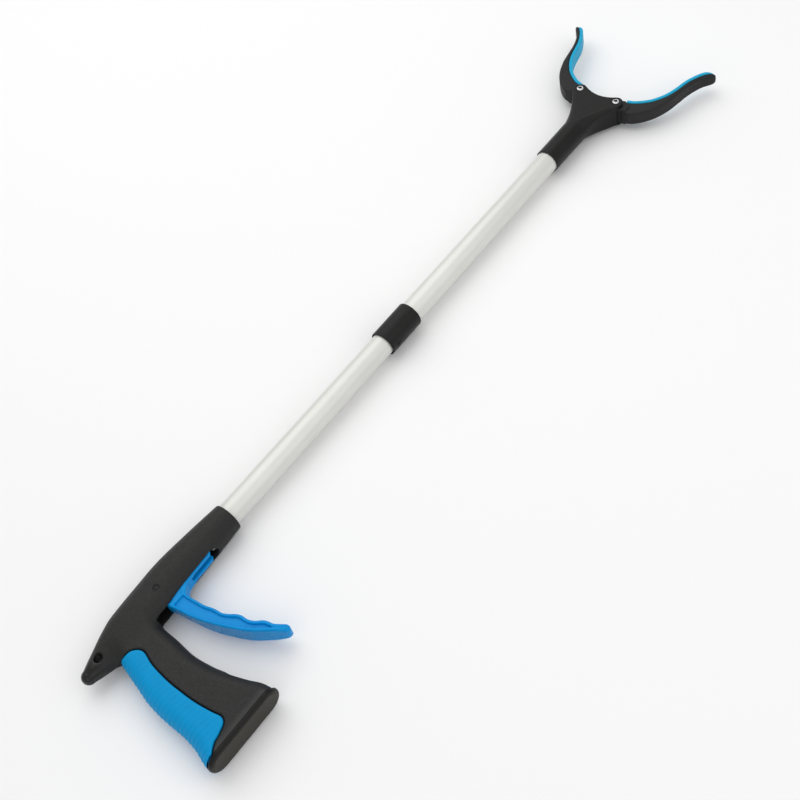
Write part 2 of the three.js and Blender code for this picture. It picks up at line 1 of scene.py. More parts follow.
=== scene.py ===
"""Looks of the folding reacher grabber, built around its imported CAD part.

The moulded pieces (handle, trigger, insert, base, fork, jaws, pads) are drawn as distance
fields in millimetres and meshed; the tubes, sleeve and rivets are turned; small inner pieces
are the CAD pieces themselves with a fine bevel. Millimetres are counted from the mouth of the
handle on the shaft axis: x towards the jaws, y towards the top of the handle, z out of its
right-hand side.
"""

import itertools
import math

import bpy
import numpy as np
from mathutils import Matrix, Vector


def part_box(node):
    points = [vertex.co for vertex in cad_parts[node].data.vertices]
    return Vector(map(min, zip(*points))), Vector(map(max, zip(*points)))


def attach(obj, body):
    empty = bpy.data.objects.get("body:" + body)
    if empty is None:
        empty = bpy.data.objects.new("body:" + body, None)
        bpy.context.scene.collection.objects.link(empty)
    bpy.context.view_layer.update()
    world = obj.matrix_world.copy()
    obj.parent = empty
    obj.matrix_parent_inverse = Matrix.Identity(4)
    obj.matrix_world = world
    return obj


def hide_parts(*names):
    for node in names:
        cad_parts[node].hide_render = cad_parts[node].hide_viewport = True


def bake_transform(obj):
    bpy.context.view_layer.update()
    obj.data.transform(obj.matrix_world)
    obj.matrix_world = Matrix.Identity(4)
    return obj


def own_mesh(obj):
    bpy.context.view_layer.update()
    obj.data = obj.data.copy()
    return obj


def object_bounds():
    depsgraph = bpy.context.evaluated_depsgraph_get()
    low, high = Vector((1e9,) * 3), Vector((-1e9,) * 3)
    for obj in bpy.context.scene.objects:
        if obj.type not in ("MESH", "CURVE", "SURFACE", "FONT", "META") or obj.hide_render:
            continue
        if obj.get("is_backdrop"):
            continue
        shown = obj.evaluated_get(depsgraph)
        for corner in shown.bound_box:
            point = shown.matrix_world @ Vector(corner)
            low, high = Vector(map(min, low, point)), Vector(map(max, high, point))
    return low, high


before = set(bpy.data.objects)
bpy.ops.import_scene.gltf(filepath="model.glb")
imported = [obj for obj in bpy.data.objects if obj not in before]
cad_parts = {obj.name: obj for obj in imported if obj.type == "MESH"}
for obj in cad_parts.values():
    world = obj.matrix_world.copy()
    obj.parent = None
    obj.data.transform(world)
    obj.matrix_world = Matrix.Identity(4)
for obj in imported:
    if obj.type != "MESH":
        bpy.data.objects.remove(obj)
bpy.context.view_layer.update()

MM = 0.001
TUBE = {"outer": 11.0, "inner": 9.9, "rear_start": -28.0}
_low, _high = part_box("rear_tube")
MOUTH = Vector((_low.x - TUBE["rear_start"] * MM, (_low.y + _high.y) / 2, 0))
FINE = 1.0


def node_span(node, axis):
    """Where a CAD node starts and ends along an axis, in millimetres from the mouth."""
    low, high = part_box(node)
    return (low[axis] - MOUTH[axis]) / MM, (high[axis] - MOUTH[axis]) / MM


# ---- meshes ----


def make_piece(name, surface, material, body, slot, *replaced):
    """A smooth-shaded piece from (points in millimetres, faces), in place of some CAD nodes.

    It rides on a CAD body if one is given.
    """
    points, faces = surface
    mesh = bpy.data.meshes.new(name)
    placed = np.asarray(points, float) * MM + np.array(MOUTH)
    mesh.from_pydata(placed.tolist(), [], [list(map(int, f)) for f in faces])
    mesh.validate()
    mesh.polygons.foreach_set("use_smooth", [True] * len(mesh.polygons))
    piece = bpy.data.objects.new(name, mesh)
    bpy.context.scene.collection.objects.link(piece)
    mesh.materials.append(material)
    if body:
        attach(piece, body)
    if replaced:
        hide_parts(*replaced)
    return piece


def sample(field, points):
    """Values of a sampled field between its grid points; points are in grid steps."""
    top = np.array(field.shape) - 1.001
    points = np.clip(points, 0, top)
    base = points.astype(int)
    part = points - base
    value = np.zeros(len(points))
    for corner in itertools.product((0, 1), repeat=3):
        weight = np.prod(np.where(corner, part, 1 - part), axis=1)
        i, j, k = (base + corner).T
        value += weight * field[i, j, k]
    return value


def settle(field, points, rounds=3):
    """Moves points that are near the zero level of a field onto it."""
    for _ in range(rounds):
        value = sample(field, points)
        slope = np.empty_like(points)
        for axis in range(3):
            step = np.zeros(3)
            step[axis] = 0.5
            slope[:, axis] = sample(field, points + step) - sample(field, points - step)
        size = np.maximum((slope**2).sum(1), 1e-3)
        move = np.clip(value / size, -0.5, 0.5)
        points = points - slope * move[:, None]
    return points


def surface_net(field, low, step):
    """Points and quads of the zero level of a sampled distance field (negative inside)."""
    n = np.array(field.shape) - 1
    inside = field < 0
    total = np.zeros((*n, 3))
    count = np.zeros(n)

    def corner(offset):
        return tuple(slice(offset[a], offset[a] + n[a]) for a in range(3))

    for axis in range(3):
        for pair in itertools.product((0, 1), repeat=2):
            start = list(pair)
            start.insert(axis, 0)
            end = list(pair)
            end.insert(axis, 1)
            f0, f1 = field[corner(start)], field[corner(end)]
            hit = (f0 < 0) != (f1 < 0)
            along = np.where(hit, f0 / np.where(hit, f0 - f1, 1), 0)
            for a in range(3):
                total[..., a] += hit * (start[a] + (along if a == axis else 0))
            count += hit
    active = count > 0
    index = np.full(n, -1)
    index[active] = np.arange(active.sum())
    cells = np.argwhere(active)
    points = cells + total[active] / count[active][:, None]
    faces = []
    for a in range(3):
        b, c = (a + 1) % 3, (a + 2) % 3
        first = [slice(1, n[d]) for d in range(3)]
        second = list(first)
        first[a], second[a] = slice(0, n[a]), slice(1, n[a] + 1)
        one, two = inside[tuple(first)], inside[tuple(second)]
        edges = np.argwhere(one != two)
        outward = one[one != two]
        quad = []
        for db, dc in ((0, 0), (1, 0), (1, 1), (0, 1)):
            cell = edges.copy()
            cell[:, b] += db
            cell[:, c] += dc
            quad.append(index[tuple(cell.T)])
        quad = np.stack(quad, 1)
        quad[~outward] = quad[~outward][:, ::-1]
        faces.append(quad)
    points = settle(field, points)
    return np.array(low) + points * step, np.concatenate(faces)


class Grid:
    """A box of sample points, in millimetres, with its coordinates ready to broadcast."""

    def __init__(self, low, high, step):
        self.low, self.step = low, step * FINE
        axes = [np.arange(a, b + self.step, self.step) for a, b in zip(low, high)]
        self.x = axes[0][:, None, None]
        self.y = axes[1][None, :, None]
        self.z = axes[2][None, None, :]
        self.shape = tuple(len(a) for a in axes)

    def mesh(self, field):
        """Points and quads of the surface where a field sampled on this grid is zero."""
        full = np.broadcast_to(field, self.shape)
        return surface_net(full, self.low, self.step)


def mirrored(surface, axis):
    """The same surface on the other side of the mouth's plane along an axis."""
    points, faces = surface
    flipped = points.copy()
    flipped[:, axis] *= -1
    return flipped, faces[:, ::-1]


# ---- distance fields ----


def soft_min(a, b, k):
    """Union of two fields with a fillet about k wide."""
    h = np.maximum(k - np.abs(a - b), 0) / k
    return np.minimum(a, b) - h * h * k / 4


def soft_max(a, b, k):
    """Common part of two fields with its edge eased by about k."""
    return -soft_min(-a, -b, k)


def carve(a, b, k=0.6):
    """Field a with b taken away."""
    return soft_max(a, -b, k)


def spline(xs, ys):
    """Smooth curve through the points that never swings past them; it holds its end values."""
    order = np.argsort(xs)
    xs, ys = np.array(xs, float)[order], np.array(ys, float)[order]
    widths = np.diff(xs)
    rises = np.diff(ys) / widths
    slopes = np.zeros(len(xs))
    slopes[0], slopes[-1] = rises[0], rises[-1]
    product = rises[:-1] * rises[1:]
    both = np.where(product > 0, rises[:-1] + rises[1:], 1)
    slopes[1:-1] = np.where(product > 0, 2 * product / both, 0)

    def value(x):
        x = np.clip(x, xs[0], xs[-1])
        i = np.clip(np.searchsorted(xs, x) - 1, 0, len(xs) - 2)
        w = widths[i]
        t = (x - xs[i]) / w
        start = ys[i] * (1 + 2 * t) * (1 - t) ** 2 + slopes[i] * w * t * (1 - t) ** 2
        end = ys[i + 1] * t * t * (3 - 2 * t) + slopes[i + 1] * w * t * t * (t - 1)
        return start + end

    return value


def rounded_line(points, steps=6, closed=False):
    """Catmull-Rom curve through outline points."""
    points = np.array(points, float)
    if closed:
        points = np.vstack([points[-1], points, points[:2]])
    else:
        points = np.vstack([2 * points[0] - points[1], points, 2 * points[-1] - points[-2]])
    curve = []
    for p0, p1, p2, p3 in zip(points, points[1:], points[2:], points[3:]):
        for t in np.arange(steps) / steps:
            bend = 2 * p1 + (p2 - p0) * t + (2 * p0 - 5 * p1 + 4 * p2 - p3) * t**2
            curve.append((bend + (3 * p1 - p0 - 3 * p2 + p3) * t**3) / 2)
    if not closed:
        curve.append(points[-2])
    return np.array(curve)


def inside_outline(x, y, corners):
    """Signed distance to a closed outline in the xy plane, negative inside."""
    nearest, inside = np.inf, np.zeros(np.broadcast(x, y).shape, bool)
    for (x0, y0), (x1, y1) in zip(corners, np.roll(corners, -1, axis=0)):
        ex, ey = x1 - x0, y1 - y0
        wx, wy = x - x0, y - y0
        t = np.clip((wx * ex + wy * ey) / max(ex * ex + ey * ey, 1e-9), 0, 1)
        nearest = np.minimum(nearest, (wx - ex * t) ** 2 + (wy - ey * t) ** 2)
        crosses = (y0 > y) != (y1 > y)
        inside = inside ^ (crosses & (wx < ex * (y - y0) / (ey or 1)))
    return np.sqrt(nearest) * np.where(inside, -1, 1)


def slab(flat, z, half, ease):
    """A flat outline given thickness: `flat` within |z| < half, with its edges eased."""
    a, b = flat + ease, np.abs(z) - half + ease
    outer = np.hypot(np.maximum(a, 0), np.maximum(b, 0))
    return outer + np.minimum(np.maximum(a, b), 0) - ease


def box(x, y, z, low, high):
    """Signed distance to a plain box, as the largest of the distances to its faces."""
    sides = [np.maximum(a - v, v - b) for v, a, b in zip((x, y, z), low, high)]
    return np.maximum(np.maximum(sides[0], sides[1]), sides[2])


def rod_z(x, y, cx, cy, radius):
    """Endless round rod along z through (cx, cy)."""
    return np.hypot(x - cx, y - cy) - radius


def rod_x(y, z, radius):
    """Endless round rod along the shaft axis."""
    return np.hypot(y, z) - radius


# ---- turned pieces ----


def turn(profile, segments=96):
    """Closed ring mesh round the x axis from (x, radius) corners."""
    profile = np.array(profile, float)
    angles = np.arange(segments) * 2 * math.pi / segments
    rings = [
        np.stack([np.full(segments, x), r * np.cos(angles), r * np.sin(angles)], 1)
        for x, r in profile
    ]
    faces, n = [], len(profile)
    for i, j in itertools.product(range(n), range(segments)):
        a, b = i * segments, ((i + 1) % n) * segments
        k = (j + 1) % segments
        faces.append((a + j, a + k, b + k, b + j))
    return np.concatenate(rings), np.array(faces)


def eased(corners, radius, steps=4):
    """Closed profile with each corner rounded."""
    corners = np.array(corners, float)
    line = []
    for before, at, after in zip(np.roll(corners, 1, 0), corners, np.roll(corners, -1, 0)):
        legs = [(p - at) / np.linalg.norm(p - at) for p in (before, after)]
        room = min(np.linalg.norm(before - at), np.linalg.norm(after - at)) / 2
        reach = min(radius, room * 0.95)
        start, end = at + legs[0] * reach, at + legs[1] * reach
        for t in np.linspace(0, 1, steps):
            line.append((1 - t) ** 2 * start + 2 * t * (1 - t) * at + t**2 * end)
    return np.array(line)


def ring_profile(x0, x1, inner, outer, ease):
    """Section of a plain ring or tube from x0 to x1."""
    return eased([(x0, inner), (x0, outer), (x1, outer), (x1, inner)], ease)


def stood_along_z(surface, centre):
    """A turned mesh with its axis laid along z through a centre in the xy plane."""
    points, faces = surface
    upright = np.stack([points[:, 1], -points[:, 2], points[:, 0]], 1)
    upright[:, :2] += centre
    return upright, faces[:, ::-1]


def sweep(path, radius, sides=12):
    """Closed rod of round section along a path of points."""
    path = np.asarray(path, float)
    along = np.gradient(path, axis=0)
    along /= np.linalg.norm(along, axis=1)[:, None]
    side = np.cross(along, (0.0, 0.0, 1.0))
    short = np.linalg.norm(side, axis=1) < 1e-3
    side[short] = np.cross(along[short], (0.0, 1.0, 0.0))
    side /= np.linalg.norm(side, axis=1)[:, None]
    up = np.cross(side, along)
    turns = np.arange(sides) * 2 * math.pi / sides
    rings = [p + radius * (np.outer(np.cos(turns), s) + np.outer(np.sin(turns), u))
             for p, s, u in zip(path, side, up)]
    faces = []
    for i, j in itertools.product(range(len(path) - 1), range(sides)):
        k = (j + 1) % sides
        a, b = i * sides, (i + 1) * sides
        faces.append((a + j, b + j, b + k, a + k))
    last = (len(path) - 1) * sides
    faces.append(tuple(range(sides)))
    faces.append(tuple(last + j for j in reversed(range(sides))))
    return np.concatenate(rings), faces


# ---- materials ----


class Finish:
    """A procedural material in real-scale object coordinates (metres)."""

    def __init__(self, name, sheen=0.5):
        self.material = bpy.data.materials.new(name)
        self.material.use_nodes = True
        self.tree = self.material.node_tree
        self.shader = self.tree.nodes["Principled BSDF"]
        self.shader.inputs["Specular IOR Level"].default_value = sheen
        self.place = self.tree.nodes.new("ShaderNodeTexCoord").outputs["Object"]
        self.height = None

    def link(self, source, socket):
        self.tree.links.new(source, socket)

    def noise(self, size, detail=3.0, stretch=(1, 1, 1)):
        """Noise whose features are about `size` metres across, longer where stretch is large."""
        mapping = self.tree.nodes.new("ShaderNodeMapping")
        mapping.inputs["Scale"].default_value = [1 / s for s in stretch]
        self.link(self.place, mapping.inputs["Vector"])
        node = self.tree.nodes.new("ShaderNodeTexNoise")
        node.inputs["Scale"].default_value = 1 / size
        node.inputs["Detail"].default_value = detail
        self.link(mapping.outputs["Vector"], node.inputs["Vector"])
        return node.outputs["Fac"]

    def cells(self, size):
        """Rounded cells about `size` metres across, as on leather-grained mouldings."""
        node = self.tree.nodes.new("ShaderNodeTexVoronoi")
        node.feature = "SMOOTH_F1"
        node.inputs["Scale"].default_value = 1 / size
        node.inputs["Smoothness"].default_value = 0.6
        self.link(self.place, node.inputs["Vector"])
        return node.outputs["Distance"]

    def along(self, axis, low, high):
        """0 at `low` to 1 at `high` along an axis, in metres."""
        split = self.tree.nodes.new("ShaderNodeSeparateXYZ")
        self.link(self.place, split.inputs["Vector"])
        return self.scaled(split.outputs[axis], low, high, 0, 1)

    def scaled(self, source, low, high, new_low, new_high):
        """The range low to high moved to the range new_low to new_high."""
        node = self.tree.nodes.new("ShaderNodeMapRange")
        values = {"From Min": low, "From Max": high, "To Min": new_low, "To Max": new_high}
        for key, value in values.items():
            node.inputs[key].default_value = value
        self.link(source, node.inputs["Value"])
        return node.outputs["Result"]

    def wander(self, source, low, high):
        """Noise turned into a value that wanders between low and high."""
        return self.scaled(source, 0.3, 0.7, low, high)

    def mixed(self, share, first, second):
        """A number between first and second; each may be a number or an output."""
        node = self.tree.nodes.new("ShaderNodeMix")
        self.link(share, node.inputs["Factor"])
        for key, value in (("A", first), ("B", second)):
            if isinstance(value, (int, float)):
                node.inputs[key].default_value = value
            else:
                self.link(value, node.inputs[key])
        return node.outputs["Result"]

    def colours(self, share, first, second):
        """Base colour between first and second."""
        node = self.tree.nodes.new("ShaderNodeMix")
        node.data_type = "RGBA"
        self.link(share, node.inputs["Factor"])
        ends = [s for s in node.inputs if s.type == "RGBA"]
        for socket, value in zip(ends, (first, second)):
            socket.default_value = (*value, 1)
        out = [s for s in node.outputs if s.type == "RGBA"][0]
        self.link(out, self.shader.inputs["Base Color"])

    def roughness(self, source):
        self.link(source, self.shader.inputs["Roughness"])

    def bump(self, source, depth, strength=1.0):
        """Adds relief `depth` metres high."""
        node = self.tree.nodes.new("ShaderNodeBump")
        node.inputs["Distance"].default_value = depth
        if isinstance(strength, (int, float)):
            node.inputs["Strength"].default_value = strength
        else:
            self.link(strength, node.inputs["Strength"])
        self.link(source, node.inputs["Height"])
        if self.height:
            self.link(self.height, node.inputs["Normal"])
        self.height = node.outputs["Normal"]
        self.link(self.height, self.shader.inputs["Normal"])

    def set(self, **values):
        """Fixed values for inputs of the shader, with _ for each space in their names."""
        for key, value in values.items():
            self.shader.inputs[key.replace("_", " ")].default_value = value
        return self


def black_handle():
    """Leather-grained black moulding that turns smooth and glossy on the tail and at the foot."""
    finish = Finish("black_handle", 0.36)
    patches = finish.noise(0.018, 4)
    finish.colours(patches, (0.0065, 0.0065, 0.006), (0.0115, 0.0112, 0.0105))
    grain = finish.cells(0.0011)
    tail = finish.along(0, MOUTH.x - 0.152, MOUTH.x - 0.168)
    foot = finish.along(1, MOUTH.y - 0.1315, MOUTH.y - 0.1365)
    smooth = finish.mixed(foot, tail, 1.0)
    matt = finish.wander(finish.noise(0.0024, 5), 0.46, 0.6)
    finish.roughness(finish.mixed(smooth, matt, 0.2))
    finish.bump(grain, 0.0003, finish.mixed(smooth, 0.9, 0.03))
    finish.bump(finish.noise(0.00035, 2), 0.00003, finish.mixed(smooth, 0.7, 0.05))
    return finish.material


def black_plain():
    """Smooth satin black moulding of the fork and the sleeve."""
    finish = Finish("black_plain", 0.22)
    finish.colours(finish.noise(0.02, 4), (0.005, 0.005, 0.0048), (0.0085, 0.0085, 0.008))
    finish.roughness(finish.wander(finish.noise(0.003, 5), 0.34, 0.48))
    finish.bump(finish.noise(0.0005, 3), 0.00003, 0.5)
    finish.bump(finish.noise(0.00008, 2), 0.00001, 0.4)
    return finish.material


CAD_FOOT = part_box("grip_base_cap")[0].y  # the plane the tool stands on


def black_gloss():
    """Glossy base cap, black round its lip, with the flat face painted a shade browner as a painted
    reflection of the floor.
    """
    finish = Finish("black_gloss", 0.22)
    # Painted reflection: the flat face is coloured browner to stand in for the floor reflected in
    # it, and the lip stays black.
    face = finish.along(1, CAD_FOOT + 0.0005, CAD_FOOT + 0.0001)
    finish.colours(face, (0.005, 0.005, 0.0045), (0.0185, 0.0165, 0.011))
    finish.roughness(finish.wander(finish.noise(0.002, 5), 0.3, 0.42))
    finish.bump(finish.noise(0.0006, 3), 0.00003, 0.4)
    return finish.material


def jaw_black():
    """Rubbery black of the jaws."""
    finish = Finish("jaw_black", 0.3)
    finish.colours(finish.noise(0.01, 4), (0.009, 0.0088, 0.009), (0.014, 0.0135, 0.0138))
    finish.roughness(finish.wander(finish.noise(0.002, 4), 0.48, 0.62))
    finish.bump(finish.noise(0.0007, 4), 0.00006, 0.6)
    finish.bump(finish.noise(0.00015, 2), 0.00002, 0.5)
    return finish.material


def blue_gloss():
    """Bright azure moulding of the trigger."""
    finish = Finish("blue_gloss", 0.14)
    finish.colours(finish.noise(0.02, 3), (0.0, 0.26, 0.65), (0.0, 0.29, 0.7))
    finish.roughness(finish.wander(finish.noise(0.012, 3), 0.25, 0.3))
    finish.bump(finish.noise(0.0006, 2), 0.00001, 0.3)
    return finish.set(Subsurface_Weight=0.08, Subsurface_Radius=(0.0005, 0.001, 0.002)).material


def blue_rubber():
    """Soft matte azure of the grip insert."""
    finish = Finish("blue_rubber", 0.14)
    finish.colours(finish.noise(0.014, 4), (0.0, 0.26, 0.56), (0.0, 0.3, 0.63))
    finish.roughness(finish.wander(finish.noise(0.002, 5), 0.5, 0.66))
    finish.bump(finish.noise(0.0004, 3), 0.00004, 0.6)
    return finish.material


def pad_rubber():
    """Soft teal of the jaw pads."""
    finish = Finish("pad_rubber", 0.3)
    finish.colours(finish.noise(0.008, 4), (0.0, 0.33, 0.54), (0.0, 0.39, 0.64))
    finish.roughness(finish.wander(finish.noise(0.002, 4), 0.42, 0.6))
    finish.bump(finish.noise(0.0005, 3), 0.00004, 0.5)
    return finish.material


def satin_tube():
    """Pale satin anodised aluminium with faint marks drawn along the shaft."""
    finish = Finish("satin_tube")
    lines = finish.noise(0.0004, 4, stretch=(60, 1, 1))
    finish.colours(finish.noise(0.03, 3), (0.68, 0.68, 0.645), (0.73, 0.73, 0.695))
    finish.roughness(finish.wander(lines, 0.34, 0.46))
    finish.bump(lines, 0.000015, 0.5)
    return finish.set(Metallic=0.3, Anisotropic=0.3).material


def metal(name, first, second, rough):
    """Bright metal with fine marks along x."""
    finish = Finish(name)
    marks = finish.noise(0.0003, 4, stretch=(6, 1, 1))
    finish.colours(finish.noise(0.004, 3), first, second)
    finish.roughness(finish.wander(marks, rough - 0.07, rough + 0.07))
    finish.bump(marks, 0.00001, 0.5)
    return finish.set(Metallic=1.0).material


def pale_plastic():
    """Off-white moulding of the bush and the spring seat."""
    finish = Finish("pale_plastic")
    finish.colours(finish.noise(0.006, 3), (0.62, 0.62, 0.57), (0.7, 0.7, 0.65))
    finish.roughness(finish.wander(finish.noise(0.002, 4), 0.4, 0.55))
    finish.bump(finish.noise(0.0005, 3), 0.00003, 0.4)
    return finish.material


HANDLE_BLACK = black_handle()
PLAIN_BLACK = black_plain()
GLOSS_BLACK = black_gloss()
JAW_BLACK = jaw_black()
BLUE = blue_gloss()
BLUE_SOFT = blue_rubber()
PAD = pad_rubber()
TUBE_METAL = satin_tube()
STEEL = metal("steel", (0.66, 0.66, 0.67), (0.76, 0.76, 0.77), 0.24)
BRASS = metal("brass", (0.55, 0.4, 0.17), (0.66, 0.5, 0.24), 0.3)
PALE = pale_plastic()

# ---- handle ----

# Sections of the barrel: x, centre height, half height, half width.
BARREL = np.array([
    (0, -0.7, 13.3, 14), (-30, -0.1, 16.1, 15), (-65, 0.4, 18.7, 15.6), (-98, -1.8, 20, 15.6),
    (-125, -2.6, 19.4, 14), (-140, -3.2, 16.6, 11.8), (-155, -3.7, 12, 9.2),
    (-164, -4, 9.2, 7.9), (-171.2, -4.1, 6.6, 6.3),
])
# Sections of the grip: height, front edge, rear edge, half width.
GRIP = np.array([
    (-8, -105.6, -144, 10.5), (-22, -106.6, -149, 12), (-41, -107.4, -154, 12.6),
    (-65, -109.4, -159.8, 12.8), (-85, -107.4, -161.6, 12.8), (-102, -103, -162, 12.8),
    (-118, -97.8, -164.2, 12.8), (-130, -93.2, -168, 12.9), (-138, -92, -170, 13),
])
GRIP_TOP = -4.0  # the grip runs up into the barrel and ends there
# Outline of the insert seen from the side; it passes behind the grip, whose skin bounds it there.
WINDOW = [
    (-131.5, -33), (-135.5, -47), (-138, -66), (-138.4, -82), (-138, -98), (-136, -114),
    (-134.6, -122), (-137, -127), (-143, -129.6), (-152, -131.6), (-180, -135), (-180, -26),
    (-152, -18.5), (-143, -21.5), (-135.4, -25),
]
INSERT_DEPTH = 3.0
SEAM = {"gap": 0.03, "ease": 0.25}  # joint between the two shells
FOOT = -137.6  # where the shells end and the base cap starts
FILLET = 7.0  # between the barrel and the grip
# How softly each edge of the shells is rounded.
EASE = {
    "mouth": 1.2, "foot": 0.12, "bore": 0.5, "slot": 0.8, "window": 1.6, "lanyard": 1.4,
    "recess": 0.5,
}
# The base cap: how far it stands proud, its eased lip, and the groove inside its rim.
CAP = {"proud": 0.05, "lip": 3.2, "gap": 0.04, "groove_in": 2.5, "groove_half": 0.45,
       "groove_depth": 0.5}
TUBE_FIT = 0.3  # play round the tube in the handle
SOCKET_END = TUBE["rear_start"] - 6.0  # the bore of the barrel ends behind the tube
SLOT = {"front": -28.5, "rear": -105.5, "half": 7.2, "roof": 13.2}
TRIGGER_PIN = (-42.0, 11.5)
EYE = {"half": 4.9, "pocket": 3.4, "play": 0.3}  # the trigger's end round its pin, and its pocket
SCREWS = ("nose_screw", "tail_screw", "palm_screw", "heel_screw")
RIBS = {"pitch": 4.7, "height": 0.55, "lean": 0.16}  # of the insert
LANYARD = {"x": -156.5, "y": -3.4, "radius": 3.9}
MARK = {"x": -86.5, "y": -4.0, "radius": 2.7}  # small round recess in the side of the barrel


def barrel_field(x, y, z):
    """The barrel and its tail, a swept oval with a round end."""
    at = np.clip(x, BARREL[-1, 0], 0)
    centre, tall, wide = (spline(BARREL[:, 0], BARREL[:, i])(at) for i in (1, 2, 3))
    over = np.minimum(x - BARREL[-1, 0], 0)
    end = BARREL[-1, 2]
    offsets = [(over, end), (y - centre, tall), (z, wide)]
    level = np.sqrt(sum((away / half) ** 2 for away, half in offsets))
    slope = np.sqrt(sum((away / half**2) ** 2 for away, half in offsets))
    return level * (level - 1) / np.maximum(slope, 1e-6)


def grip_field(x, y, z):
    """The grip: level sections are straight-sided with round ends."""
    front, rear, half = (spline(GRIP[:, 0], GRIP[:, i])(y) for i in (1, 2, 3))
    outside = np.maximum(np.maximum(x - (front - half), (rear + half) - x), 0)
    return soft_max(np.hypot(outside, z) - half, y - GRIP_TOP, 5)


def handle_field(x, y, z):
    """Barrel and grip in one, cut square at the mouth and at the foot."""
    body = soft_min(barrel_field(x, y, z), grip_field(x, y, z), FILLET)
    body = soft_max(body, x, EASE["mouth"])
    return soft_max(body, FOOT - y, EASE["foot"])


def slot_field(x, y, z):
    """The slot that the trigger swings in, with a round front end and a pocket for its eye."""
    front, rear, half, roof = SLOT["front"], SLOT["rear"], SLOT["half"], SLOT["roof"]
    ahead = np.maximum(x - (front - half), 0)
    sides = np.hypot(ahead, z) - half
    ceiling = np.where(x > TRIGGER_PIN[0] + 4.5, 5.0, roof)
    eye = rod_z(x, y, *TRIGGER_PIN, EYE["pocket"])
    eye = np.maximum(eye, np.abs(z) - EYE["half"] - EYE["play"])
    return np.minimum(np.maximum(np.maximum(sides, rear - x), y - ceiling), eye)


def window_field(x, y):
    """Outline of the insert, seen from the side."""
    return inside_outline(x, y, rounded_line(WINDOW, 5, closed=True))


def handle_shells():
    """The two shells: each is half of the hollowed handle, and the left one has screw wells."""
    grid = Grid((-180, FOOT - 2, -1.3), (2.6, 24, 17), 0.62)
    x, y, z = grid.x, grid.y, grid.z
    solid = handle_field(x, y, z)
    bored = carve(solid, rod_x(y, z, TUBE["outer"] + TUBE_FIT), EASE["bore"])
    body = np.where(x < SOCKET_END, solid, bored)
    body = carve(body, slot_field(x, y, z), EASE["slot"])
    pocket = np.maximum(window_field(x, y) - 0.5, -(grip_field(x, y, z) + INSERT_DEPTH))
    body = carve(body, pocket, EASE["window"])
    hole = rod_z(x, y, LANYARD["x"], LANYARD["y"], LANYARD["radius"])
    body = carve(body, hole, EASE["lanyard"])
    seam = SEAM["gap"] - z
    right = carve(body, mark_field(x, y, z), EASE["recess"])
    surface = grid.mesh(soft_max(right, seam, SEAM["ease"]))
    make_piece("handle_right", surface, HANDLE_BLACK, "handle", "black_plastic",
               "handle_shell_right")
    for node in SCREWS:
        body = carve(body, screw_well(x, y, z, node), EASE["recess"])
    surface = mirrored(grid.mesh(soft_max(body, seam, SEAM["ease"])), 2)
    make_piece("handle_left", surface, HANDLE_BLACK, "handle", "black_plastic",
               "handle_shell_left")


def mark_field(x, y, z):
    """A shallow dished recess with a button left in its middle."""
    away = rod_z(x, y, MARK["x"], MARK["y"], 0)
    floor = barrel_field(x, y, z) + 1.1 - 0.9 * np.clip(1.2 - away / 1.6, 0, 1)
    return np.maximum(away - MARK["radius"], -floor)


def screw_place(node):
    """Centre x and y of a screw, how deep its head's face lies, and the head's radius."""
    low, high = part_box(node)
    centre = ((low + high) / 2 - MOUTH) / MM
    return centre.x, centre.y, -(low.z - MOUTH.z) / MM, (high.x - low.x) / 2 / MM


def screw_well(x, y, z, node):
    """Counterbore of a screw, drawn on the positive side and mirrored later."""
    cx, cy, face, radius = screw_place(node)
    return np.maximum(rod_z(x, y, cx, cy, radius + 0.3), (face - 1.9) - z)


def grip_insert():
    """Ribbed soft insert let into the rear of the grip."""
    grid = Grid((-174, -136, -14), (-128, -16, 14), 0.5)
    x, y, z = grid.x, grid.y, grid.z
    edge = window_field(x, y)
    fade = np.clip((-edge - 2.2) / 2.5, 0, 1)  # the ribs run out before the edge
    wave = np.cos((y + RIBS["lean"] * x) * 2 * math.pi / RIBS["pitch"])
    ribs = np.abs(wave) ** 1.3 * np.sign(wave) * 0.5
    skin = soft_min(grip_field(x, y, z), barrel_field(x, y, z) + 3, 6)
    skin = skin - 0.25 - RIBS["height"] * fade * ribs
    body = soft_max(skin, edge + 0.35, 1.6)
    body = np.maximum(body, -(grip_field(x, y, z) + INSERT_DEPTH - 0.4))
    make_piece("grip_insert_soft", grid.mesh(body), BLUE_SOFT, "handle", "grip_rubber",
               "grip_insert")


def base_cap():
    """Flat foot of the grip with a broad eased lip and a fine groove inside its rim."""
    base = node_span("grip_base_cap", 1)[0]
    grid = Grid((-172.5, base - 1, -14.5), (-90, FOOT + 1, 14.5), 0.42)
    x, y, z = grid.x, grid.y, grid.z
    front, rear, half = GRIP[-1, 1:]
    half += CAP["proud"]
    outside = np.maximum(np.maximum(x - (front - half), (rear + half) - x), 0)
    side = np.hypot(outside, z) - half
    body = soft_max(side, base - y, CAP["lip"])
    body = soft_max(body, y - (FOOT - CAP["gap"]), EASE["foot"])
    groove = np.abs(side + CAP["groove_in"]) - CAP["groove_half"]
    body = carve(body, np.maximum(groove, y - (base + CAP["groove_depth"])), 0.3)
    make_piece("base_cap_gloss", grid.mesh(body), GLOSS_BLACK, "handle", "gloss_black",
               "grip_base_cap")


